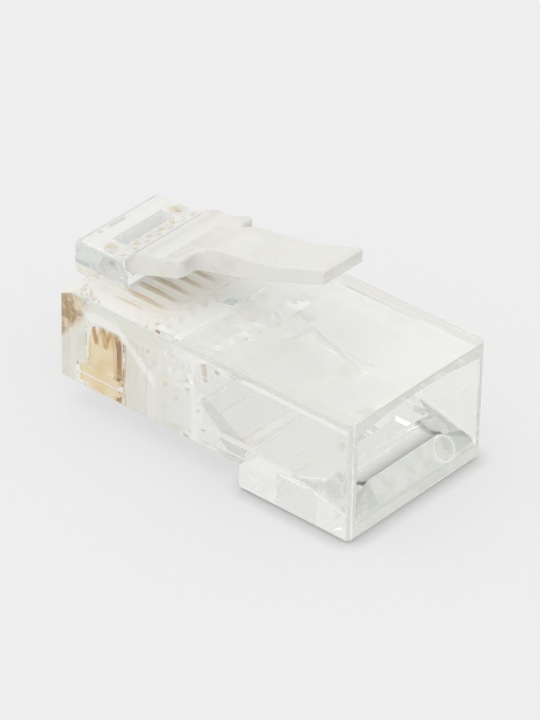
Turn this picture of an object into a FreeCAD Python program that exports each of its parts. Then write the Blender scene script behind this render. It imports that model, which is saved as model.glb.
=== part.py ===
"""Modular plug, 8 positions and 8 contacts, as supplied before it is crimped on a cable.

Pieces: the clear moulded housing, its latch lever and its strain relief bar, each drawn as a
solid of its own because it swings on a thin web of the moulding, and eight gilt contact blades.

Frame: the contact side is down and the latch up. X runs from the nose (-X) to the cable entry
(+X), Y across the plug, and Z up from the underside of the rear half. Every outline below is
drawn with x = 0 on the nose face, and each piece's Placement then moves it so that the origin
lies under the middle of the whole plug.
"""
import FreeCAD, Part
import os
import Sketcher

DIMENSIONS = [
    # alias, value in millimetres (or a count), what it is
    ("housing_width", 11.68, "width of the housing over its flat sides"),
    ("housing_length", 21.6, "nose face to rear face"),
    ("housing_height", 7.88, "rear underside to the top of the rear half at its sides"),
    ("top_crown", 0.08, "rise of the rear top towards its middle"),
    ("nose_length", 13.6, "nose face to the shoulder on the contact side"),
    ("nose_rise", 1.67, "height of the shoulder on the contact side"),
    ("top_step", 0.28, "drop from the rear top down to the nose top"),
    ("ramp_start", 6.8, "nose face to the foot of the ramp on the top"),
    ("ramp_end", 8.5, "nose face to the head of the ramp at its sides"),
    ("ramp_inset", 0.35, "ledge left beside the ramp on each side"),
    ("gate_mark", 0.8, "side of the small square gate mark at the ramp's head"),
    ("gate_depth", 0.1, "depth of the gate mark"),
    ("lead_in_run", 1.0, "length of the lead-in bevel on the nose top"),
    ("lead_in_drop", 0.5, "fall of the lead-in bevel"),
    ("corner_radius", 0.45, "rounding of the rear corners"),
    ("nose_corner_radius", 0.25, "rounding of the nose's upright corners"),
    ("edge_radius", 0.12, "rounding of the long edges"),
    ("side_wall", 0.54, "wall beside the cable cavity"),
    ("floor_top", 2.5, "rear underside to the cavity floor"),
    ("ceiling_middle", 7.43, "rear underside to the crown of the arched ceiling"),
    ("ceiling_rise", 0.48, "rise of the ceiling arch over the cavity width"),
    ("lip_crest", 1.0, "rear face to the crest of the entry lip"),
    ("lip_mouth", 1.1, "rear underside to the foot of the entry slope"),
    ("lip_groove", 1.8, "width of the groove in front of the crest"),
    ("lip_groove_depth", 0.36, "depth of that groove"),
    ("relief_run", 4.5, "rear face to where the reliefs of the entry's lower corners start"),
    ("relief_crest", 2.9, "middle plane to where those reliefs meet the crest"),
    ("relief_fall", 0.42, "fall of those reliefs per millimetre of their breadth"),
    ("pin_mark_radius", 0.75, "radius of the ejector pin's mark on the entry slope"),
    ("pin_mark_offset", 3.0, "middle plane to the centre of that mark"),
    ("pin_mark_depth", 0.06, "depth of that mark"),
    ("cavity_corner", 0.45, "fillet between the cavity floor and its sides"),
    ("core_front", 15.8, "nose face to the front of the recess under the rear floor"),
    ("core_rear", 18.9, "nose face to the rear of that recess"),
    ("core_height", 2.0, "depth of that recess"),
    ("core_wall", 0.94, "wall beside that recess"),
    ("core_radius", 0.3, "rounding inside that recess"),
    ("front_recess", 4.9, "nose face to the first recess of the contact side"),
    ("front_recess_length", 1.2, "length of the first recess"),
    ("cross_rib", 0.7, "rib between the two recesses"),
    ("recess_roof", 4.2, "rear underside to the roof of both recesses"),
    ("recess_width", 8.6, "width of both recesses"),
    ("web_thickness", 0.6, "cross web that carries the strain relief bar"),
    ("web_rear", 10.0, "nose face to the rear of that web"),
    ("web_top", 4.4, "rear underside to the cavity floor over that web"),
    ("sill_run", 1.0, "run of the slope from the shoulder up to the cavity floor"),
    ("throat_front", 6.2, "nose face to where the wire channels open into one throat"),
    ("throat_width", 8.5, "width of the throat at its front"),
    ("throat_lip", 7.3, "nose face to the change of slope in the throat's floor"),
    ("throat_lip_height", 4.95, "height of the throat's floor there"),
    ("throat_roof_start", 8.7, "nose face to where the throat's roof starts to rise"),
    ("throat_roof_run", 3.4, "run of the rising roof"),
    ("contact_count", 8, "number of contact positions"),
    ("contact_pitch", 1.02, "spacing of the contact positions"),
    ("wire_bore", 0.9, "diameter of each wire channel"),
    ("wire_height", 5.9, "rear underside to the wire channel axis"),
    ("wire_front", 0.5, "nose face to the blind end of the wire channels"),
    ("comb_slot", 0.5, "width of the slots between the ribs on the nose face"),
    ("comb_height", 2.4, "height of those slots up the nose face"),
    ("slot_rear_gap", 0.35, "space behind a contact's foot in its slot"),
    ("slot_corner", 0.9, "rounding of the slot's upper rear corner"),
    ("blade_thickness", 0.3, "thickness of a contact blade"),
    ("blade_setback", 0.65, "nose face to the front of a contact's foot"),
    ("blade_foot", 3.0, "length of a contact's foot"),
    ("blade_foot_height", 0.5, "height of a contact's foot"),
    ("blade_shank_setback", 0.7, "foot front to shank front"),
    ("blade_shank", 1.9, "length of a contact's shank"),
    ("blade_height", 3.2, "foot to prong tips"),
    ("blade_prong", 0.9, "length of the three prongs"),
    ("blade_recess", 0.05, "blade edge above the nose underside, before crimping"),
    ("blade_corner", 0.2, "rounding of a foot's lower corners"),
    ("blade_gap", 0.05, "running clearance beside and around a blade"),
    ("crimp_travel", 0.95, "travel of a blade when the plug is crimped"),
    ("boss_overhang", 1.12, "reach of the latch boss ahead of the nose face"),
    ("boss_width", 6.94, "width of the latch boss"),
    ("boss_end", 2.95, "nose face to the rear face of the boss"),
    ("boss_top", 9.25, "rear underside to the top of the boss"),
    ("boss_rear_rise", 0.37, "rise of the boss top at its rear edge"),
    ("boss_rear_run", 0.9, "length of that rise"),
    ("boss_underside", 7.2, "rear underside to the underside of the overhang"),
    ("boss_front_radius", 0.6, "rounding of the boss top at the front"),
    ("boss_side_radius", 0.3, "rounding of the boss's sides"),
    ("window_setback", 0.6, "nose face to the small window in the boss"),
    ("window_length", 1.03, "length of that window"),
    ("window_width", 4.2, "width of that window"),
    ("window_depth", 1.35, "depth of that window"),
    ("latch_width", 6.28, "width over the latch shoulders"),
    ("latch_axis_offset", 0.1, "boss rear face to the latch's bending axis"),
    ("latch_axis_height", 8.95, "rear underside to the latch's bending axis"),
    ("latch_root", 1.0, "thickness of the latch at its root"),
    ("latch_arm", 6.75, "nose face to the latch shoulders"),
    ("latch_edge_radius", 0.2, "rounding of the arm's upper long edges"),
    ("shoulder_top", 11.0, "rear underside to the top of the shoulders"),
    ("shoulder_depth", 1.28, "thickness of the arm at the shoulders"),
    ("shoulder_fillet", 0.5, "fillet between the shoulders and the tab"),
    ("shoulder_corner", 0.35, "rounding of the shoulders' outer corners"),
    ("tab_root_width", 3.5, "width of the latch tab at the shoulders"),
    ("tab_width", 3.3, "width of the latch tab at its end"),
    ("tab_end", 15.85, "nose face to the end of the latch tab"),
    ("tab_top", 13.36, "rear underside to the top of the tab's end"),
    ("tab_thickness", 0.8, "thickness of the latch tab at its end"),
    ("tab_edge_radius", 0.1, "rounding of the tab's edges"),
    ("pad_length", 3.75, "length of the thumb pad at the tab's end"),
    ("pad_foot", 12.13, "rear underside to the foot of the thumb pad"),
    ("swing_gap", 0.03, "running clearance of the latch root and of the relief bar's root"),
    ("bar_width", 9.2, "width of the strain relief bar"),
    ("bar_root", 0.56, "thickness of the strain relief bar at its root"),
    ("bar_axis_height", 3.8, "rear underside to the bar's bending axis"),
    ("bar_gap", 0.1, "gap beside the bar"),
    ("bar_rear_gap", 0.2, "gap between the bar and the shoulder behind it"),
    ("bar_recess", 0.05, "bar's foot above the nose underside"),
    ("bar_foot", 1.15, "length of the bar's flat foot"),
    ("bar_heel", 0.6, "height of the bar's rear face"),
]


def main():
    doc = FreeCAD.newDocument("modular_plug")
    dims = doc.addObject("Spreadsheet::Sheet", "dims")
    for row, (alias, value, meaning) in enumerate(DIMENSIONS, start=1):
        dims.set("A%d" % row, meaning)
        dims.set("B%d" % row, str(value))
        dims.setAlias("B%d" % row, alias)
    doc.recompute()

    sub_parts = [make_housing(doc), make_latch(doc), make_strain_relief(doc)]
    for number in range(1, int(dims.contact_count) + 1):
        sub_parts.append(make_contact(doc, number))
    doc.recompute()
    export(doc, sub_parts)


# ---------------------------------------------------------------- drawing helpers

UPRIGHT = FreeCAD.Rotation(FreeCAD.Vector(1, 0, 0), 90)
FORWARD = FreeCAD.Rotation(FreeCAD.Vector(0, 1, 0), 90)


def expression(text):
    """Name the sheet in front of each alias of a formula."""
    words = []
    for word in text.replace("(", " ( ").replace(")", " ) ").split():
        words.append("dims." + word if word[0].isalpha() else word)
    return " ".join(words)


def value_of(item, text):
    return float(item.evalExpression(expression(text)))


def draw(sketch, corners):
    """Add a closed outline whose corners are pairs of formulas, each held by two dimensions."""
    first = sketch.GeometryCount
    count = len(corners)
    places = []
    for across, along in corners:
        places.append(FreeCAD.Vector(value_of(sketch, across), value_of(sketch, along), 0))
    for i in range(count):
        sketch.addGeometry(Part.LineSegment(places[i], places[(i + 1) % count]), False)
    for i in range(count):
        follower = first + (i + 1) % count
        sketch.addConstraint(Sketcher.Constraint("Coincident", first + i, 2, follower, 1))
    for i, (across, along) in enumerate(corners):
        hold(sketch, "DistanceX", first + i, 1, places[i].x, across)
        hold(sketch, "DistanceY", first + i, 1, places[i].y, along)


def draw_circle(sketch, across, along, radius):
    """Add a circle whose centre and radius are formulas."""
    centre = FreeCAD.Vector(value_of(sketch, across), value_of(sketch, along), 0)
    size = value_of(sketch, radius)
    ring = sketch.addGeometry(Part.Circle(centre, FreeCAD.Vector(0, 0, 1), size), False)
    hold(sketch, "DistanceX", ring, 3, centre.x, across)
    hold(sketch, "DistanceY", ring, 3, centre.y, along)
    held = sketch.addConstraint(Sketcher.Constraint("Radius", ring, size))
    sketch.setExpression("Constraints[%d]" % held, expression(radius))


def hold(sketch, kind, geometry, point, value, formula):
    """Dimension one point of the sketch from its origin, and bind the dimension."""
    held = sketch.addConstraint(Sketcher.Constraint(kind, -1, 1, geometry, point, value))
    sketch.setExpression("Constraints[%d]" % held, expression(formula))


def prism(doc, name, corners, length, rotation=UPRIGHT):
    """An outline run half of the length to each side; by default a side outline (x, z)."""
    sketch = doc.addObject("Sketcher::SketchObject", name + "_outline")
    sketch.Placement = FreeCAD.Placement(FreeCAD.Vector(), rotation)
    draw(sketch, corners)
    solid = doc.addObject("Part::Extrusion", name)
    solid.Base = sketch
    solid.DirMode = "Normal"
    solid.Solid = True
    solid.Symmetric = True
    solid.setExpression("LengthFwd", expression(length))
    doc.recompute()
    return solid


def block(doc, name, x, y, z, length, width, height):
    """A box from formulas, with y as the middle of its width."""
    box = doc.addObject("Part::Box", name)
    box.setExpression("Length", expression(length))
    box.setExpression("Width", expression(width))
    box.setExpression("Height", expression(height))
    set_base(box, x, "%s - ( %s ) / 2" % (y, width), z)
    doc.recompute()
    return box


def cylinder(doc, name, rotation, x, y, z, radius, height):
    """A cylinder from formulas, with its foot at x, y and z."""
    rod = doc.addObject("Part::Cylinder", name)
    rod.Placement.Rotation = rotation
    rod.setExpression("Radius", expression(radius))
    rod.setExpression("Height", expression(height))
    set_base(rod, x, y, z)
    return rod


def cross_rod(doc, name, x, z, radius, width):
    """A cylinder across the plug, with its axis at x and z."""
    return cylinder(doc, name, UPRIGHT, x, "( %s ) / 2" % width, z, radius, width)


def set_base(item, x, y, z):
    item.setExpression("Placement.Base.x", expression(x))
    item.setExpression("Placement.Base.y", expression(y))
    item.setExpression("Placement.Base.z", expression(z))


def fused(doc, name, pieces):
    joined = doc.addObject("Part::MultiFuse", name)
    joined.Shapes = pieces
    doc.recompute()
    return joined


def cut(doc, name, base, tool):
    left = doc.addObject("Part::Cut", name)
    left.Base = base
    left.Tool = tool
    doc.recompute()
    return left


def common(doc, name, base, tool):
    shared = doc.addObject("Part::Common", name)
    shared.Base = base
    shared.Tool = tool
    doc.recompute()
    return shared


def chosen_edges(shape, test):
    """Numbers of the straight or curved edges that a test on middle and direction picks."""
    numbers = []
    for number, edge in enumerate(shape.Edges, start=1):
        run = edge.Vertexes[-1].Point - edge.Vertexes[0].Point
        if run.Length and test(edge.CenterOfMass, run.normalize()):
            numbers.append(number)
    return numbers


def rounded(doc, name, base, radii):
    """Round edges of a solid. radii pairs a test with the formula of a radius."""
    fillet = doc.addObject("Part::Fillet", name)
    fillet.Base = base
    edges = []
    for test, radius in radii:
        size = value_of(fillet, radius)
        for number in chosen_edges(base.Shape, test):
            edges.append((number, size, size))
    fillet.Edges = edges
    doc.recompute()
    return fillet


def place(piece, y="0"):
    """Move a finished piece so that the origin lies under the middle of the plug."""
    piece.setExpression("Placement.Base.x", expression("( boss_overhang - housing_length ) / 2"))
    piece.setExpression("Placement.Base.y", expression(y))


def near(one, other):
    return abs(one - other) < 1e-4


# ---------------------------------------------------------------- housing

NOSE_TOP = "housing_height - top_step"
CAVITY_WIDTH = "housing_width - 2 * side_wall"
BAR_WINDOW = "bar_width + 2 * bar_gap"
LATCH_AXIS = "boss_end + latch_axis_offset"
BAR_AXIS = "web_rear + bar_root / 4"


def make_housing(doc):
    """The clear moulding: outer shell, latch boss, cable cavity, wire channels and ribs."""
    outside = fused(doc, "outside", [make_shell(doc), make_boss(doc)])
    hollows = [make_cavity(doc), make_groove(doc), make_pin_mark(doc)] + make_reliefs(doc)
    hollows += make_recesses(doc) + make_channels(doc)
    hollow = fused(doc, "hollow", hollows)
    housing = cut(doc, "housing", outside, hollow)
    housing.Label = "housing"
    place(housing)
    return housing


def make_shell(doc):
    """The outer form: a shallow nose, a shoulder below, a ramp above and a crowned rear top."""
    dims = doc.dims
    crown_top = "housing_height + top_crown"
    bulk = prism(doc, "shell_bulk", [
        ("0", "nose_rise"),
        ("nose_length", "nose_rise"),
        ("nose_length", "0"),
        ("housing_length", "0"),
        ("housing_length", crown_top),
        ("ramp_end", crown_top),
        ("ramp_end", NOSE_TOP),
        ("lead_in_run", NOSE_TOP),
        ("0", NOSE_TOP + " - lead_in_drop"),
    ], "housing_width")
    ramp_rise = "( top_crown / top_step ) * ( ramp_end - ramp_start )"
    ledges = prism(doc, "ramp_ledges", [
        ("ramp_start", NOSE_TOP),
        ("ramp_end + " + ramp_rise, crown_top),
        ("ramp_end + %s" % ramp_rise, crown_top + " + 1"),
        ("ramp_start", crown_top + " + 1"),
    ], "housing_width + 1")
    ramp = prism(doc, "ramp", [
        ("ramp_start", NOSE_TOP),
        ("ramp_end + 0.1", NOSE_TOP),
        ("ramp_end + 0.1", "housing_height + 0.1 * top_step / ( ramp_end - ramp_start )"),
    ], "housing_width - 2 * ramp_inset")
    sloped = fused(doc, "sloped", [cut(doc, "ramped", bulk, ledges), ramp])

    span = "( housing_width / 2 - ramp_inset )"
    crown_radius = "( %s ^ 2 / 2 / top_crown + top_crown / 2 )" % span
    crown = cylinder(doc, "crown", FORWARD, "0 - 1", "0", crown_top + " - " + crown_radius,
                     crown_radius, "housing_length + 2")
    crowned = common(doc, "crowned", sloped, crown)

    side = dims.housing_width / 2
    rear = dims.housing_length

    def on_rear_corner(middle, run):
        upright = near(abs(run.z), 1) and near(middle.x, rear)
        below = near(middle.z, 0) and (near(middle.x, rear) or near(abs(run.x), 1))
        return upright or below

    def on_nose_corner(middle, run):
        return near(abs(run.z), 1) and near(middle.x, 0)

    def on_long_edge(middle, run):
        high = middle.z > dims.housing_height - dims.top_step - 1e-4
        low = near(middle.z, dims.nose_rise)
        return near(abs(middle.y), side) and near(abs(run.x), 1) and (high or low)

    return rounded(doc, "shell", crowned, [
        (on_rear_corner, "corner_radius"),
        (on_nose_corner, "nose_corner_radius"),
        (on_long_edge, "edge_radius"),
    ])


def make_boss(doc):
    """The block that carries the latch: it overhangs the nose face and has a small window."""
    dims = doc.dims
    bulk = prism(doc, "boss_bulk", [
        ("0", NOSE_TOP + " - lead_in_drop - 0.1"),
        ("boss_end", NOSE_TOP + " - 0.1"),
        ("boss_end", "boss_top + boss_rear_rise"),
        ("boss_end - boss_rear_run", "boss_top"),
        ("0 - boss_overhang", "boss_top"),
        ("0 - boss_overhang", "boss_underside"),
    ], "boss_width")
    top = dims.boss_top
    front = -dims.boss_overhang
    side = dims.boss_width / 2

    def on_front(middle, run):
        return near(middle.z, top) and near(middle.x, front)

    def on_side(middle, run):
        level = near(middle.z, top) and near(abs(middle.y), side)
        upright = near(middle.x, front) and near(abs(run.z), 1)
        return level or upright

    soft = rounded(doc, "boss_rounded", bulk,
                   [(on_front, "boss_front_radius"), (on_side, "boss_side_radius")])
    window = block(doc, "boss_window", "window_setback", "0", "boss_top - window_depth",
                   "window_length", "window_width", "window_depth + 1")
    seat = cross_rod(doc, "latch_seat", LATCH_AXIS, "latch_axis_height",
                     "latch_root / 2 + swing_gap", "boss_width + 1")
    return cut(doc, "boss", soft, fused(doc, "boss_cuts", [window, seat]))


def make_cavity(doc):
    """The cable cavity: an arched tunnel that narrows to the throat of the wire channels."""
    dims = doc.dims
    rear = "housing_length + 1"
    bulk = prism(doc, "cavity_bulk", [
        (rear, "lip_mouth"),
        ("housing_length", "lip_mouth"),
        ("housing_length - lip_crest", "floor_top"),
        ("web_rear", "floor_top"),
        ("web_rear", "web_top"),
        ("throat_lip", "throat_lip_height"),
        ("throat_front", "wire_height - wire_bore / 2"),
        ("throat_front", "wire_height + wire_bore / 2"),
        ("throat_roof_start", "wire_height + wire_bore / 2"),
        ("throat_roof_start + throat_roof_run", "ceiling_middle"),
        (rear, "ceiling_middle"),
    ], CAVITY_WIDTH)
    side = (dims.housing_width - 2 * dims.side_wall) / 2

    def on_floor_corner(middle, run):
        level = near(abs(run.x), 1) and near(middle.z, dims.floor_top)
        return level and near(abs(middle.y), side)

    soft = rounded(doc, "cavity_rounded", bulk, [(on_floor_corner, "cavity_corner")])
    arch_radius = "( ( %s ) ^ 2 / 8 / ceiling_rise + ceiling_rise / 2 )" % CAVITY_WIDTH
    arch = cylinder(doc, "ceiling_arch", FORWARD, "0", "0", "ceiling_middle - " + arch_radius,
                    arch_radius, "housing_length + 2")
    arched = common(doc, "arched_cavity", soft, arch)
    funnel = prism(doc, "funnel", [
        ("throat_front", "0 - throat_width / 2"),
        ("web_rear", "0 - ( %s ) / 2" % CAVITY_WIDTH),
        (rear, "0 - ( %s ) / 2" % CAVITY_WIDTH),
        (rear, "( %s ) / 2" % CAVITY_WIDTH),
        ("web_rear", "( %s ) / 2" % CAVITY_WIDTH),
        ("throat_front", "throat_width / 2"),
    ], "4 * housing_height", FreeCAD.Rotation())
    return common(doc, "cavity", arched, funnel)


def make_groove(doc):
    """The rounded groove across the floor in front of the entry lip's crest."""
    radius = "( lip_groove ^ 2 / 8 / lip_groove_depth + lip_groove_depth / 2 )"
    return cross_rod(doc, "groove", "housing_length - lip_crest - lip_groove / 2",
                     "floor_top - lip_groove_depth + " + radius, radius, CAVITY_WIDTH)


def make_reliefs(doc):
    """The flat reliefs that flare the entry's two lower corners towards the rear."""
    dims = doc.dims
    wall = dims.housing_width / 2 - dims.side_wall
    run = FreeCAD.Vector(dims.relief_run - dims.lip_crest, dims.relief_crest - wall, 0)
    upwards = FreeCAD.Vector(0, 0, 1)
    reliefs = []
    for name, side in (("left_relief", 1), ("right_relief", -1)):
        along = FreeCAD.Vector(run.x, run.y * side, 0)
        turn = FreeCAD.Rotation(upwards.cross(along) * side, upwards, along * side, "YZX")
        solid = prism(doc, name, [
            ("0", "0"),
            ("housing_width / 2", "0 - relief_fall * housing_width / 2"),
            ("housing_width / 2", "1"),
            ("0", "1"),
        ], "3 * relief_run", turn)
        set_base(solid.Base, "housing_length - relief_run",
                 "%d * ( housing_width / 2 - side_wall )" % side, "floor_top")
        reliefs.append(common(doc, name + "_in_cavity", solid, block(
            doc, name + "_bounds", "housing_length - relief_run", "0", "0",
            "relief_run + 1", CAVITY_WIDTH, "housing_height")))
    return reliefs


def make_pin_mark(doc):
    """The round mark that an ejector pin leaves on the entry slope."""
    dims = doc.dims
    slope = FreeCAD.Vector(dims.floor_top - dims.lip_mouth, 0, dims.lip_crest)
    turn = FreeCAD.Rotation(FreeCAD.Vector(0, 0, 1), slope)
    away = "( ( floor_top - lip_mouth ) ^ 2 + lip_crest ^ 2 ) ^ 0.5"
    return cylinder(doc, "pin_mark", turn,
                    "housing_length - lip_crest / 2 - pin_mark_depth * "
                    "( floor_top - lip_mouth ) / " + away,
                    "pin_mark_offset",
                    "( floor_top + lip_mouth ) / 2 - pin_mark_depth * lip_crest / " + away,
                    "pin_mark_radius", "pin_mark_depth + 0.5")


def make_recesses(doc):
    """What the mould cores out of the outside: two recesses, the bar's window, the rear, a mark."""
    dims = doc.dims
    below = "nose_rise - 1"
    depth = "recess_roof - nose_rise + 1"
    second = "front_recess + front_recess_length + cross_rib"
    front = block(doc, "first_recess", "front_recess", "0", below,
                  "front_recess_length", "recess_width", depth)
    middle = block(doc, "second_recess", second, "0", below,
                   "web_rear - web_thickness - ( %s )" % second, "recess_width", depth)
    window = prism(doc, "bar_window", [
        ("web_rear", below),
        ("nose_length", below),
        ("nose_length", "floor_top - sill_run"),
        ("nose_length + sill_run", "floor_top"),
        ("nose_length + sill_run", "floor_top + 0.1"),
        ("web_rear", "floor_top + 0.1"),
    ], BAR_WINDOW)
    seat = cross_rod(doc, "bar_seat", BAR_AXIS, "bar_axis_height",
                     "bar_root / 2 + swing_gap", BAR_WINDOW)
    core = block(doc, "core_bulk", "core_front", "0", "0 - 1",
                 "core_rear - core_front", "housing_width - 2 * core_wall", "core_height + 1")
    roof = dims.core_height

    def on_roof_or_corner(middle, run):
        return near(middle.z, roof) or near(abs(run.z), 1)

    rear = rounded(doc, "rear_core", core, [(on_roof_or_corner, "core_radius")])
    mark = block(doc, "gate_mark", "ramp_end - gate_mark / 2", "0 - gate_mark",
                 "housing_height - gate_depth", "gate_mark", "gate_mark", "1")
    return [front, middle, window, seat, rear, mark]


def make_channels(doc):
    """For each wire: its round channel, and the slot that its contact blade stands in."""
    dims = doc.dims
    below = "nose_rise - 1"
    slot = "blade_thickness + 2 * blade_gap"
    slot_front = "blade_setback - blade_gap"
    slot_rear = "blade_setback + blade_foot + slot_rear_gap"
    shank_front = "blade_setback + blade_shank_setback - blade_gap"
    foot_top = "nose_rise + blade_recess + blade_foot_height + crimp_travel + blade_gap"
    pieces = []
    for number in range(1, int(dims.contact_count) + 1):
        y = contact_place(number)
        pieces.append(cylinder(doc, "wire_channel_%d" % number, FORWARD, "wire_front", y,
                               "wire_height", "wire_bore / 2", "throat_front - wire_front + 0.1"))
        pieces.append(block(doc, "comb_%d" % number, "0 - 1", y, below, "blade_setback + 1",
                            "comb_slot", "comb_height + 1"))
        pieces.append(block(doc, "foot_slot_%d" % number, slot_front, y, below,
                            slot_rear + " - ( %s )" % slot_front, slot,
                            foot_top + " - ( %s )" % below))
        tall = block(doc, "tall_slot_%d" % number, shank_front, y, below,
                     slot_rear + " - ( %s )" % shank_front, slot,
                     "wire_height - ( %s )" % below)
        pieces.append(rounded(doc, "shank_slot_%d" % number, tall,
                              [(on_upper_rear_edge(dims), "slot_corner")]))
    return pieces


def on_upper_rear_edge(dims):
    rear = dims.blade_setback + dims.blade_foot + dims.slot_rear_gap

    def test(middle, run):
        return near(middle.x, rear) and near(middle.z, dims.wire_height)

    return test


def contact_place(number):
    """Position 1 is on the +Y side: the right-hand one, seen from the cable with the latch up."""
    return "( ( contact_count + 1 ) / 2 - %d ) * contact_pitch" % number


# ---------------------------------------------------------------- latch lever

def make_latch(doc):
    """The latch: a wide arm that ends in two shoulders, and the narrow tab that a thumb presses."""
    dims = doc.dims
    body = doc.addObject("PartDesign::Body", "latch_lever")
    body.Label = "latch_lever"
    side = sketch_on(body, "latch_side", "XZ_Plane")
    draw(side, [
        (LATCH_AXIS, "latch_axis_height - latch_root / 2"),
        ("latch_arm", "shoulder_top - shoulder_depth"),
        ("latch_arm + 2.75", "shoulder_top - 0.6"),
        ("tab_end - pad_length - 0.1", "pad_foot - 1"),
        ("tab_end", "tab_top - tab_thickness"),
        ("tab_end", "tab_top"),
        ("tab_end - 0.45", "tab_top - 0.08"),
        ("tab_end - pad_length", "pad_foot"),
        ("latch_arm + 1.25", "shoulder_top + 0.48"),
        ("latch_arm", "shoulder_top"),
        ("latch_arm - 1.45", "shoulder_top - 0.6"),
        ("boss_end + 0.95", "shoulder_top - 0.75"),
        ("boss_end + 0.5", "shoulder_top - 0.95"),
        (LATCH_AXIS, "latch_axis_height + latch_root / 2"),
    ])
    pad(body, side, "latch_pad", "latch_width")
    root = sketch_on(body, "latch_root_circle", "XZ_Plane")
    draw_circle(root, LATCH_AXIS, "latch_axis_height", "latch_root / 2")
    pad(body, root, "latch_root_pad", "latch_width")

    plan = sketch_on(body, "latch_flanks", "XY_Plane")
    for sign in ("", "0 - "):
        draw(plan, [
            ("latch_arm", sign + "( tab_root_width / 2 )"),
            ("tab_end", sign + "( tab_width / 2 )"),
            ("tab_end + 1", sign + "( tab_width / 2 )"),
            ("tab_end + 1", sign + "( latch_width / 2 + 1 )"),
            ("latch_arm", sign + "( latch_width / 2 + 1 )"),
        ])
    flanks = body.newObject("PartDesign::Pocket", "latch_flank_cut")
    flanks.Profile = plan
    flanks.Type = "ThroughAll"
    flanks.Midplane = True
    doc.recompute()
    body.Tip = flanks

    arm = dims.latch_arm
    half = dims.latch_width / 2
    tab_half = dims.tab_root_width / 2
    crest = dims.shoulder_top - 1

    def in_notch(middle, run):
        return near(abs(run.z), 1) and near(middle.x, arm) and near(abs(middle.y), tab_half)

    def on_shoulder_corner(middle, run):
        return near(abs(run.z), 1) and near(middle.x, arm) and near(abs(middle.y), half)

    def on_arm_edge(middle, run):
        return near(abs(middle.y), half) and near(run.y, 0) and middle.z > crest

    round_edges(body, "latch_notches", in_notch, "shoulder_fillet")
    round_edges(body, "latch_corners", on_shoulder_corner, "shoulder_corner")
    round_edges(body, "latch_edges", on_arm_edge, "latch_edge_radius")
    place(body)
    return body


def sketch_on(body, name, plane_role):
    sketch = body.newObject("Sketcher::SketchObject", name)
    plane = [f for f in body.Origin.OriginFeatures if f.Role == plane_role][0]
    sketch.AttachmentSupport = (plane, [""])
    sketch.MapMode = "FlatFace"
    return sketch


def pad(body, sketch, name, width):
    """Pad a side outline half of the width to each side of the middle plane."""
    feature = body.newObject("PartDesign::Pad", name)
    feature.Profile = sketch
    feature.Midplane = True
    feature.setExpression("Length", expression(width))
    body.Document.recompute()
    body.Tip = feature
    return feature


def round_edges(body, name, test, radius):
    """Round the edges of the body that a test picks."""
    before = body.Tip
    edges = ["Edge%d" % number for number in chosen_edges(before.Shape, test)]
    rounding = body.newObject("PartDesign::Fillet", name)
    rounding.Base = (before, edges)
    rounding.setExpression("Radius", expression(radius))
    body.Document.recompute()
    body.Tip = rounding


# ---------------------------------------------------------------- strain relief bar

def make_strain_relief(doc):
    """The wedge-shaped bar that is pushed up against the cable jacket."""
    body = doc.addObject("PartDesign::Body", "strain_relief_bar")
    body.Label = "strain_relief_bar"
    side = sketch_on(body, "bar_side", "XZ_Plane")
    heel = "nose_length - bar_rear_gap"
    foot = "nose_rise + bar_recess"
    draw(side, [
        (BAR_AXIS + " - bar_root * 0.34", "bar_axis_height - bar_root * 0.366"),
        (heel + " - bar_foot", foot),
        (heel, foot),
        (heel, foot + " + bar_heel"),
        (BAR_AXIS + " + bar_root * 0.27", "bar_axis_height + bar_root * 0.42"),
    ])
    pad(body, side, "bar_pad", "bar_width")
    root = sketch_on(body, "bar_root_circle", "XZ_Plane")
    draw_circle(root, BAR_AXIS, "bar_axis_height", "bar_root / 2")
    pad(body, root, "bar_root_pad", "bar_width")
    place(body)
    return body


# ---------------------------------------------------------------- contacts

def make_contact(doc, number):
    """A contact blade: a long foot, a narrower shank and three prongs that pierce the wire."""
    name = "contact_%d" % number
    body = doc.addObject("PartDesign::Body", name)
    body.Label = name
    side = sketch_on(body, name + "_side", "XZ_Plane")
    foot = "nose_rise + blade_recess"
    shoulder = foot + " + blade_foot_height"
    tip = foot + " + blade_height"
    gum = tip + " - blade_prong"
    shank = "blade_setback + blade_shank_setback"
    outline = [
        ("blade_setback", foot),
        ("blade_setback + blade_foot", foot),
        ("blade_setback + blade_foot", shoulder),
        (shank + " + blade_shank", shoulder),
    ]
    for share in (0.875, 0.5, 0.125):
        outline.append((shank + " + blade_shank * %s" % (share + 0.125), gum))
        outline.append((shank + " + blade_shank * %s" % share, tip))
        outline.append((shank + " + blade_shank * %s" % (share - 0.125), gum))
    outline.append((shank, shoulder))
    outline.append(("blade_setback", shoulder))
    draw(side, outline)
    pad(body, side, name + "_pad", "blade_thickness")
    low = body.Tip.Shape.BoundBox.ZMin

    def on_foot_corner(middle, run):
        return near(abs(run.y), 1) and near(middle.z, low)

    round_edges(body, name + "_rounding", on_foot_corner, "blade_corner")
    place(body, contact_place(number))
    return body


# ---------------------------------------------------------------- output

def export(doc, sub_parts):
    """Check every object, then write each sub-part to its own STEP file."""
    for item in doc.Objects:
        if "Invalid" in item.State or "Error" in item.State:
            raise RuntimeError("%s failed: %s" % (item.Name, item.State))
    for piece in sub_parts:
        if piece.Shape.isNull() or not piece.Shape.isValid() or not piece.Shape.Solids:
            raise RuntimeError("%s has no valid solid" % piece.Label)
    os.makedirs("parts", exist_ok=True)
    for piece in sub_parts:
        piece.Shape.exportStep("parts/%s.step" % piece.Label)
        box = piece.Shape.BoundBox
        print("%-18s solids %d  volume %8.3f  x %.2f..%.2f  y %.2f..%.2f  z %.2f..%.2f" % (
            piece.Label, len(piece.Shape.Solids), piece.Shape.Volume,
            box.XMin, box.XMax, box.YMin, box.YMax, box.ZMin, box.ZMax))


main()
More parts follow.
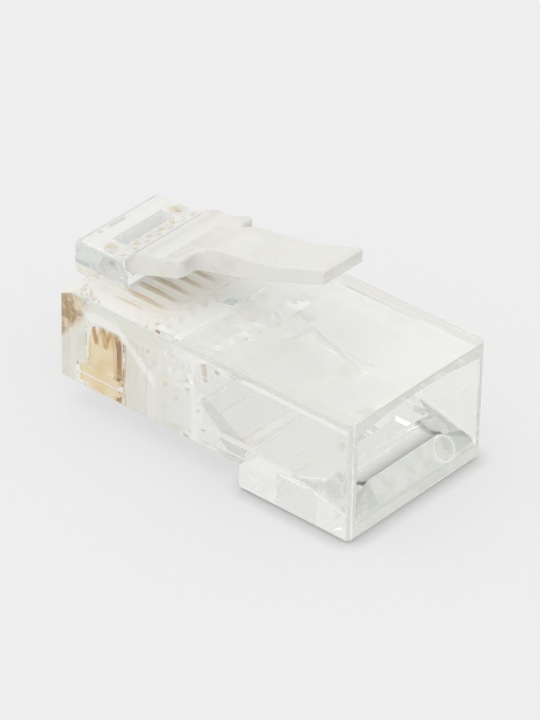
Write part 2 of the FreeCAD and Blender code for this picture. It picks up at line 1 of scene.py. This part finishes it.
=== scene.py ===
import math

import bmesh
import bpy
from mathutils import Matrix, Vector


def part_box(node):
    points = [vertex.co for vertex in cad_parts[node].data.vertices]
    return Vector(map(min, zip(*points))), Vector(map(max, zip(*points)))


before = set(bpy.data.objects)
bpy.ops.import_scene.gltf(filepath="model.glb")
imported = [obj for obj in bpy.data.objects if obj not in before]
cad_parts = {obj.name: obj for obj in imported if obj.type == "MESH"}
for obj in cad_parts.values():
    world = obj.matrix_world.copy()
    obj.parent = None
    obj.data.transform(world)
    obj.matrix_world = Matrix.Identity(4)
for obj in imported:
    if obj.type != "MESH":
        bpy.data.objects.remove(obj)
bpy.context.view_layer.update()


# ---------------------------------------------------------------- view
# The plug is looked at from beside its cable end and from above. A long lens stands nearly a
# third of a metre away, so that the plug's long edges stay almost parallel.

AZIMUTH = math.radians(40.12)
ELEVATION = math.radians(33.66)
ROLL = math.radians(1.307)
AIM = Vector((-0.000041, 0.000651, 0.003971))
DISTANCE = 0.293
FILM_HEIGHT = 36
LENS = 259.155
CLEAR_BOUNCES = 64
MATT_BOUNCES = 8

backward = Vector((math.sin(AZIMUTH) * math.cos(ELEVATION),
                   -math.cos(AZIMUTH) * math.cos(ELEVATION), math.sin(ELEVATION)))
level_right = Vector((math.cos(AZIMUTH), math.sin(AZIMUTH), 0))
level_up = backward.cross(level_right)
right = level_right * math.cos(ROLL) + level_up * math.sin(ROLL)
up = level_up * math.cos(ROLL) - level_right * math.sin(ROLL)
turn = Matrix((right, up, backward)).transposed().to_4x4()

camera = bpy.data.objects.new("camera", bpy.data.cameras.new("camera"))
camera.matrix_world = Matrix.Translation(AIM + backward * DISTANCE) @ turn
camera.data.sensor_fit = "VERTICAL"
camera.data.sensor_height = FILM_HEIGHT
camera.data.lens = LENS
camera.data.clip_start = 0.01
camera.data.clip_end = 10
scene = bpy.context.scene
scene.collection.objects.link(camera)
scene.camera = camera
scene.view_settings.view_transform = "Standard"
for bounces in ("max_bounces", "transmission_bounces", "glossy_bounces"):
    setattr(scene.cycles, bounces, CLEAR_BOUNCES)
scene.cycles.diffuse_bounces = MATT_BOUNCES


# ---------------------------------------------------------------- housing
# One injection moulding of clear polycarbonate, open at the cable end. The mould is polished,
# apart from the eroded, matt ramp on the top. The plastic is hazy on its tops and edges, round
# the blades and in the entry. Its bloom's colour also holds painted light: painted reflections of
# the blades' gold over them, painted shade on the sides, the boss's flanks and in the lip's
# groove, a painted highlight by the nearest blade, and painted lightening on the ramp, the nose
# top and the foot of the cable end.

class Socket:
    """A socket of a material's nodes. Arithmetic on it adds Math nodes."""

    def __init__(self, socket):
        self.socket = socket

    def node(self, kind, settings, sockets, output=0):
        """Add a node: its settings first, then its sockets' values or links. Gives one output."""
        tree = self.socket.id_data
        added = tree.nodes.new(kind)
        for name, value in settings.items():
            setattr(added, name, value)
        for name, value in sockets.items():
            if isinstance(value, Socket):
                tree.links.new(value.socket, added.inputs[name])
            else:
                added.inputs[name].default_value = value
        return Socket(added.outputs[output])

    def maths(self, operation, first, second):
        return self.node("ShaderNodeMath", {"operation": operation}, {0: first, 1: second})

    def maths_of(self, operation):
        return self.node("ShaderNodeMath", {"operation": operation}, {0: self})

    def __add__(self, other):
        return self.maths("ADD", self, other)

    def __sub__(self, other):
        return self.maths("SUBTRACT", self, other)

    def __rsub__(self, other):
        return self.maths("SUBTRACT", other, self)

    def __mul__(self, other):
        return self.maths("MULTIPLY", self, other)

    __radd__ = __add__
    __rmul__ = __mul__

    def rise(self, low, high):
        """A soft step from 0 below low to 1 above high."""
        return self.node("ShaderNodeMapRange", {"interpolation_type": "SMOOTHSTEP"},
                         {"Value": self, "From Min": low, "From Max": high})

    def fall(self, low, high):
        """A soft step from 1 below low to 0 above high."""
        return 1 - self.rise(low, high)

    def within(self, low, high, soft=0.03):
        """1 between low and high, with edges this soft, and 0 elsewhere."""
        return self.rise(low - soft, low + soft) * self.fall(high - soft, high + soft)

    def axes(self):
        """The three coordinates of a position."""
        split = self.node("ShaderNodeSeparateXYZ", {}, {"Vector": self}).socket.node
        return [Socket(axis) for axis in split.outputs]

    def noise(self, scale, detail=3.0, roughness=0.5):
        """Noise from 0 to 1 whose grains have a size of one over the scale, on a position."""
        return self.node("ShaderNodeTexNoise", {"noise_dimensions": "3D"},
                         {"Vector": self, "Scale": scale, "Detail": detail,
                          "Roughness": roughness})

    def between(self, colour, other):
        """A mix of two colours, with this socket as the factor."""
        # a Mix node takes its colours at inputs 6 and 7, and gives the result at output 2
        return self.node("ShaderNodeMix", {"data_type": "RGBA"}, {0: self, 6: colour, 7: other}, 2)

    def stretched(self, x, y, z):
        """The same position, with each axis scaled, so that a pattern on it becomes streaks."""
        return self.node("ShaderNodeMapping", {}, {"Vector": self, "Scale": (x, y, z)})


def largest(one, other):
    """A mask of the places that either of two masks holds."""
    return one.maths("MAXIMUM", one, other)


def new_material(name):
    """A bare material, and the position on the plug in millimetres from its nose face."""
    material = bpy.data.materials.new(name)
    material.use_nodes = True
    tree = material.node_tree
    for spare in tree.nodes:
        if spare.bl_idname != "ShaderNodeOutputMaterial":
            tree.nodes.remove(spare)
    place = Socket(tree.nodes.new("ShaderNodeTexCoord").outputs["Object"])
    return material, place.node("ShaderNodeMapping", {}, {
        "Vector": place, "Location": (-NOSE_FACE, 0, 0),
        "Scale": (MM_PER_METRE, MM_PER_METRE, MM_PER_METRE)})


def finish_material(material, shader, nodes):
    """Wire the shader to the output and put the material on CAD nodes."""
    tree = material.node_tree
    output = [n for n in tree.nodes if n.bl_idname == "ShaderNodeOutputMaterial"][0]
    tree.links.new(shader.socket, output.inputs["Surface"])
    for name in nodes:
        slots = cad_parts[name].data.materials
        slots.clear()
        slots.append(material)


def milky(place, haze, roughness, bump, haze_colour):
    """Clear plastic under a thin bloom: light passes through it, and its skin looks milky."""
    clear = place.node("ShaderNodeBsdfPrincipled", {"distribution": "MULTI_GGX"}, {
        "Base Color": CLEAR_TINT, "Roughness": roughness, "IOR": POLYCARBONATE_IOR,
        "Transmission Weight": 1.0, "Normal": bump})
    bloom = place.node("ShaderNodeBsdfPrincipled", {}, {
        "Base Color": haze_colour, "Roughness": BLOOM_ROUGHNESS, "IOR": POLYCARBONATE_IOR,
        "Normal": bump})
    inner_side = place.node("ShaderNodeNewGeometry", {}, {}, "Backfacing")
    return place.node("ShaderNodeMixShader", {},
                      {0: haze * (1 - inner_side), 1: clear, 2: bloom})


def relief(place, height, depth):
    """A bump of a depth in millimetres."""
    return place.node("ShaderNodeBump", {}, {"Height": height, "Distance": depth / MM_PER_METRE},
                      "Normal")


POLYCARBONATE_IOR = 1.58
CLEAR_TINT = (0.993, 0.995, 0.984, 1)
BLOOM_ROUGHNESS = 0.4

# Sizes of the housing in millimetres: x from the nose face to the cable end, y from the middle,
# z from the rear half's underside.
MM_PER_METRE = 1000
BOSS_OVERHANG = 1.12
lowest, highest = (corner * MM_PER_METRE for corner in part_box("housing"))
NOSE_FACE = lowest.x + BOSS_OVERHANG
REAR_FACE = highest.x - NOSE_FACE
HALF_WIDTH = highest.y
BOSS_TOP = 9.25
BOSS_REAR = 2.95
BOSS_HALF_WIDTH = 3.47
BOSS_UNDERSIDE = 7.2
WINDOW_FRONT, WINDOW_REAR = 0.6, 1.63
WINDOW_FLOOR = 7.9
WINDOW_HALF_WIDTH = 2.1
NOSE_TOP, REAR_TOP = 7.6, 7.88
RAMP_FOOT, RAMP_HEAD = 6.8, 8.95
GATE_X, GATE_Y, GATE_REACH = 8.5, -0.8, 0.41
CORE_HALF_WIDTH = HALF_WIDTH - 0.54
CORE_CEILING = 6.95
THROAT_FRONT = 6.2
WIRE_HEIGHT = 5.9
FLOOR_TOP = 2.5
LIP_CREST = REAR_FACE - 1.0
LIP_MOUTH = 1.1
RELIEF_FRONT = REAR_FACE - 4.5
RELIEF_CREST = 2.9
PIN_MARK = (REAR_FACE - 0.5, 3.0, 1.8)
PIN_MARK_INSIDE, PIN_MARK_OUTSIDE = 0.68, 0.84
CONTACT_PITCH = 1.02

material, place = new_material("clear_polycarbonate")
x, y, z = place.axes()
across = y.maths_of("ABSOLUTE")
near = y.fall(-0.5, 0.5)

# Places inside. Here and below, a limit stands a little off the edge that it names, so that a
# mask takes in its whole face and neighbouring masks overlap.
cored = (across.fall(CORE_HALF_WIDTH - 0.3, CORE_HALF_WIDTH - 0.05)
         * z.fall(CORE_CEILING - 0.25, CORE_CEILING - 0.05)
         * z.rise(0.02, 0.06) * x.rise(0.02, 0.06))
channels = (cored * x.fall(THROAT_FRONT - 0.1, THROAT_FRONT + 0.1)
            * z.rise(WIRE_HEIGHT - 0.8, WIRE_HEIGHT - 0.6))
groove = (x.within(LIP_CREST - 1.9, LIP_CREST - 0.02)
          * z.within(FLOOR_TOP - 0.45, FLOOR_TOP + 0.05) * across.fall(3.4, 3.6))
entry = cored * x.rise(LIP_CREST, LIP_CREST + 0.03) * z.within(LIP_MOUTH - 0.02, FLOOR_TOP)
corners = (cored * x.rise(RELIEF_FRONT + 0.1, RELIEF_FRONT + 0.5)
           * z.within(1.35, FLOOR_TOP - 0.05) * across.rise(RELIEF_CREST, RELIEF_CREST + 0.4))
from_pin_mark = place.node("ShaderNodeVectorMath", {"operation": "DISTANCE"},
                           {0: place, 1: PIN_MARK}, "Value")
ring = entry * from_pin_mark.within(PIN_MARK_INSIDE, PIN_MARK_OUTSIDE)

# The cable end, the tops, the edges and the sides.
rear_face = x.rise(REAR_FACE - 0.04, REAR_FACE - 0.01)
rear_foot = rear_face * z.fall(LIP_MOUTH - 0.2, LIP_MOUTH + 0.1)
off_edges = across.fall(HALF_WIDTH - 0.18, HALF_WIDTH - 0.1)
ramp = (x.within(RAMP_FOOT + 0.03, RAMP_HEAD, 0.04)
        * z.rise(NOSE_TOP + 0.002, NOSE_TOP + 0.006) * off_edges)
gate = (x.within(GATE_X - GATE_REACH, GATE_X + GATE_REACH)
        * y.within(GATE_Y - GATE_REACH, GATE_Y + GATE_REACH))
nose_top = (z.within(NOSE_TOP - 0.52, NOSE_TOP + 0.1)
            * x.fall(RAMP_FOOT + 0.04, RAMP_FOOT + 0.08) * off_edges)
rear_top = (z.rise(REAR_TOP - 0.08, REAR_TOP - 0.04)
            * x.rise(RAMP_HEAD - 0.1, RAMP_HEAD + 0.05))
over_wall = rear_top * across.rise(CORE_HALF_WIDTH - 0.4, CORE_HALF_WIDTH - 0.15)
top_edges = z.within(NOSE_TOP - 0.13, REAR_TOP + 0.1) * largest(
    across.rise(HALF_WIDTH - 0.16, HALF_WIDTH - 0.1), x.fall(0.1, 0.16))
rear_edges = (x.rise(REAR_FACE - 0.3, REAR_FACE - 0.22)
              * across.rise(HALF_WIDTH - 0.24, HALF_WIDTH - 0.18))
edges = largest(top_edges, rear_edges)
outer_side = (across.rise(HALF_WIDTH - 0.04, HALF_WIDTH - 0.01)
              * z.fall(NOSE_TOP - 0.16, NOSE_TOP - 0.1))

# The latch boss and its window.
on_boss = x.fall(BOSS_REAR + 0.01, BOSS_REAR + 0.05)
overhang = z.rise(BOSS_UNDERSIDE - 0.05, BOSS_UNDERSIDE - 0.02) * x.fall(-0.06, -0.03)
above_nose = z.rise(NOSE_TOP + 0.04, NOSE_TOP + 0.08)
flanks = largest(across.rise(BOSS_HALF_WIDTH - 0.17, BOSS_HALF_WIDTH - 0.07),
                 x.fall(0.5 - BOSS_OVERHANG, 0.62 - BOSS_OVERHANG))
boss_flank = largest(above_nose, overhang) * on_boss * flanks
boss_top = z.rise(BOSS_TOP - 0.13, BOSS_TOP - 0.09) * on_boss * x.rise(-0.6, -0.5)
boss_window = (x.within(WINDOW_FRONT - 0.01, WINDOW_REAR + 0.01)
               * across.fall(WINDOW_HALF_WIDTH - 0.01, WINDOW_HALF_WIDTH + 0.02)
               * z.rise(WINDOW_FLOOR - 0.02, WINDOW_FLOOR + 0.01)
               * z.fall(BOSS_TOP - 0.25, BOSS_TOP - 0.05))

# Painted reflections of the blades' gold: bands over the blades, patches round the window, and
# the near nose corner.
turns = (y - CONTACT_PITCH / 2) * (2 * math.pi / CONTACT_PITCH)
over_blade = turns.maths_of("COSINE").rise(-0.2, 0.8)
gold_reflection_bands = nose_top * over_blade * x.within(3.2, 5.9, 0.6) * across.fall(4.0, 4.4)
window_corner_reflections = boss_top * x.within(0.7, 1.6, 0.3) * across.within(2.4, 3.0, 0.2)
window_rear_reflections = boss_top * x.within(1.8, 2.3, 0.15) * over_blade * across.fall(2.3, 2.6)
upper_front = (z - x).rise(3.9, 4.5)
nose_corner_reflection = near * outer_side * x.fall(1.5, 2.3) * upper_front

# The veil of bloom round the nearest blade, a painted highlight in it shaped as a paler arch, and
# the scuff before the arch.
arch_height = z + 0.85 * largest(x - 4.5, 0.0)
arch_highlight = near * outer_side * arch_height.within(6.25, 6.9, 0.15) * x.within(1.6, 7.2, 0.3)
before_blade = largest(x.within(-1, 1.3, 0.1), x.within(-1, 2.1, 0.1) * z.rise(3.0, 3.3))
behind_blade = largest(x.rise(4.8, 5.2), arch_height.rise(6.0, 6.4) * x.rise(1.5, 2.3))
round_blade = largest(behind_blade, before_blade * (1 - upper_front))
side_veil = outer_side * x.fall(7.0, 12.0) * (near * round_blade + 0.4 * (1 - near))
scuff = (x.within(1.3, 2.3, 0.3) * z.rise(6.7, 7.1) * y.fall(-5.4, -5.1)
         * z.fall(NOSE_TOP + 0.02, NOSE_TOP + 0.06))

cloud = place.noise(0.35, 2.0)
mottle = place.noise(1.3, 3.0).rise(0.42, 0.6)
grain = place.noise(9.0, 2.0)
haze = (0.01 + 0.02 * cloud + 0.6 * ramp + 0.7 * rear_face + entry * (0.5 + 0.2 * mottle)
        + corners * (0.3 + 0.25 * mottle) + side_veil * (0.86 - 0.16 * x.rise(6.4, 6.8))
        + 0.85 * nose_corner_reflection + outer_side * 0.2 * x.rise(7.0, 12.0) + 0.6 * edges
        + 0.52 * nose_top + 0.2 * gold_reflection_bands + 0.4 * rear_top + 0.2 * over_wall + 0.5 * boss_flank
        + boss_top * (0.35 + 0.25 * x.fall(0.1, 0.5))
        + 0.45 * boss_window + 0.3 * window_corner_reflections + 0.4 * window_rear_reflections
        + 0.06 * channels + groove * 0.5 * x.rise(LIP_CREST - 1.4, LIP_CREST))
roughness = 0.01 + 0.06 * channels
pale = cloud.between((0.90, 0.92, 0.84, 1), (0.94, 0.92, 0.89, 1))
# Painted shade: a darker grey on the sides' veil and on the tops over the side walls, paler again
# along the painted highlight of the arch.
veil_shaded = (side_veil - arch_highlight + 0.8 * over_wall).between(pale, (0.80, 0.79, 0.71, 1))
greenish = (rear_face + entry + corners + edges).between(veil_shaded, (0.71, 0.735, 0.66, 1))
# Painted light: the foot of the cable end is painted paler, which lifts the shade there.
foot_lightened = rear_foot.between(greenish, (0.80, 0.82, 0.75, 1))
# Painted shade: the boss's flanks and front take a darker bluish grey than its top.
flank_shaded = boss_flank.between(foot_lightened, (0.64, 0.68, 0.66, 1))
# The ramp's matt skin is whitish. Its white is painted brighter still: painted light that lifts
# the latch's shadow on it.
ramp_lightened = ramp.between(flank_shaded, (1.0, 1.0, 0.95, 1))
gated = gate.between(ramp_lightened, (0.72, 0.80, 0.80, 1))
creamy = boss_top.between(gated, (0.84, 0.85, 0.80, 1))
# The nose top's warm tint is a painted reflection of the gold below. Its pale tone is painted
# light that lifts the latch's shadow on it.
warm_reflection_lightened = nose_top.between(creamy, (0.94, 0.91, 0.81, 1))
speckled = (scuff * grain.rise(0.48, 0.56) * 0.7).between(warm_reflection_lightened, (0.45, 0.45, 0.38, 1))
# Painted shade: the groove before the lip's crest is painted dark.
groove_shaded = groove.between(speckled, (0.2, 0.22, 0.17, 1))
# Painted reflections of the gold over the blades and round the window, in a brownish tone.
gold_reflected = (gold_reflection_bands + window_rear_reflections + window_corner_reflections).between(groove_shaded, (0.70, 0.60, 0.41, 1))
ringed = ring.between(gold_reflected, (0.95, 0.95, 0.93, 1))
# Painted reflection of the gold at the near nose corner, in a mottled brown.
tawny_reflection = mottle.between((0.48, 0.33, 0.17, 1), (0.74, 0.63, 0.44, 1))
bloom_colour = nose_corner_reflection.between(ringed, tawny_reflection)
bump = relief(place, grain * (0.7 * scuff + 0.3 * ramp), 0.012)
finish_material(material, milky(place, haze, roughness, bump, bloom_colour), ["housing"])


# ---------------------------------------------------------------- latch lever
# Part of the same moulding, but its tool faces are finely eroded, so that it is frosted all
# over and looks whitish; a thumb presses its tab down to free the plug.

material, place = new_material("frosted_polycarbonate")
cloud = place.noise(0.5, 2.0)
grain = place.noise(3.0, 2.0)
haze = 0.66 + cloud * 0.14
roughness = 0.03 + cloud * 0.06
bloom_colour = cloud.between((0.78, 0.79, 0.72, 1), (0.82, 0.80, 0.76, 1))
bump = relief(place, grain, 0.003)
finish_material(material, milky(place, haze, roughness, bump, bloom_colour), ["latch_lever"])


# ---------------------------------------------------------------- strain relief bar
# A wedge of the same clear plastic on a thin web in the floor; the crimping tool pushes it up
# against the cable's jacket. The mould's cores leave drag marks on it, and its ends are hazy.

BAR_HALF_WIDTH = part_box("strain_relief_bar")[1].y * MM_PER_METRE
BAR_BLOOM = (0.88, 0.90, 0.84, 1)

material, place = new_material("cored_polycarbonate")
cloud = place.noise(0.6, 2.0)
drag = place.stretched(0.4, 0.4, 7.0).noise(1.0, 3.0)
across = place.axes()[1].maths_of("ABSOLUTE")
ends = across.rise(BAR_HALF_WIDTH - 0.1, BAR_HALF_WIDTH - 0.05)
haze = 0.08 + cloud * 0.08 + ends * 0.4
roughness = 0.01 + drag * 0.03
bump = relief(place, drag, 0.004)
finish_material(material, milky(place, haze, roughness, bump, BAR_BLOOM), ["strain_relief_bar"])


# ---------------------------------------------------------------- contacts
# Eight blades stamped from phosphor bronze strip and gold plated, pushed up into their slots so
# that their prongs wait under the wires. The stamping leaves fine upright lines on the flats.

CONTACTS = ["contact_%d" % number for number in range(1, 9)]

material, place = new_material("gold_plate")
tarnish = place.noise(0.9, 3.0)
lines = place.stretched(9.0, 1.0, 0.6).noise(1.0, 2.0)
gold = tarnish.rise(0.35, 0.7).between((0.98, 0.83, 0.54, 1), (0.93, 0.68, 0.32, 1))
plate = place.node("ShaderNodeBsdfPrincipled", {}, {
    "Base Color": gold, "Metallic": 1.0, "Roughness": 0.16 + tarnish * 0.16,
    "Normal": relief(place, lines, 0.006)})
finish_material(material, plate, CONTACTS)


# ---------------------------------------------------------------- floor
# A plain pale sheet that the plug lies on. Lit, it keeps the plug's soft shadow; part of its
# brightness is its own, so that it stays even behind the plug and seen through it. A darker
# tone close to the plug is a painted contact shadow: the fine line where the two touch.

FLOOR_TONE = (0.855, 0.855, 0.855, 1)
CONTACT_SHADOW_TONE = (0.34, 0.34, 0.33, 1)
CONTACT_SHADOW_REACH = 0.001
FLOOR_REACH = 0.8
FLOOR_DROP = 0.00002
GLOW_SEEN = 0.7
GLOW_THROUGH = 0.8

plan = bmesh.new()
bmesh.ops.create_grid(plan, x_segments=1, y_segments=1, size=FLOOR_REACH)
bmesh.ops.translate(plan, verts=plan.verts, vec=(0, 0, -FLOOR_DROP))
floor_mesh = bpy.data.meshes.new("floor")
plan.to_mesh(floor_mesh)
plan.free()
floor = bpy.data.objects.new("floor", floor_mesh)
scene.collection.objects.link(floor)

material, place = new_material("paper")
sheet = place.node("ShaderNodeBsdfDiffuse", {}, {"Color": FLOOR_TONE})
rays = place.node("ShaderNodeLightPath", {}, {}).socket.node.outputs
direct, mirrored, through = (Socket(rays[ray]) for ray in (
    "Is Camera Ray", "Is Glossy Ray", "Is Transmission Ray"))
open_air = place.node("ShaderNodeAmbientOcclusion", {"samples": 16},
                      {"Distance": CONTACT_SHADOW_REACH}, "AO")
# Seen straight on, the floor's own brightness turns to the painted contact shadow close to the
# plug.
glow = place.node("ShaderNodeEmission", {}, {
    "Color": (direct * (1 - open_air)).between(FLOOR_TONE, CONTACT_SHADOW_TONE), "Strength": 1.0})
by_way_of_plug = place.node("ShaderNodeClamp", {}, {"Value": mirrored + through})
share = GLOW_SEEN * direct + GLOW_THROUGH * by_way_of_plug
paper = place.node("ShaderNodeMixShader", {}, {0: share, 1: sheet, 2: glow})
finish_material(material, paper, [])
floor.data.materials.append(material)


# ---------------------------------------------------------------- light
# Even light from all round, as in a tent of white cloth, with one softbox to the left that
# brightens the edges that face it, and a weak one low in front that reaches under the latch.

TENT_STRENGTH = 0.85
LAMP_SIDE = 0.4

world = bpy.data.worlds.new("light_tent")
scene.world = world
world.use_nodes = True
tent = world.node_tree.nodes["Background"]
tent.inputs["Color"].default_value = (1, 1, 1, 1)
tent.inputs["Strength"].default_value = TENT_STRENGTH

for name, watts, where in (("softbox", 0.66, Vector((-0.2, -0.1, 0.56))),
                           ("fill", 0.1, Vector((0.15, -0.35, 0.2)))):
    lamp = bpy.data.objects.new(name, bpy.data.lights.new(name, "AREA"))
    lamp.data.shape = "SQUARE"
    lamp.data.size = LAMP_SIDE
    lamp.data.energy = watts
    lamp.location = where
    lamp.rotation_euler = (-where).to_track_quat("-Z", "Y").to_euler()
    scene.collection.objects.link(lamp)
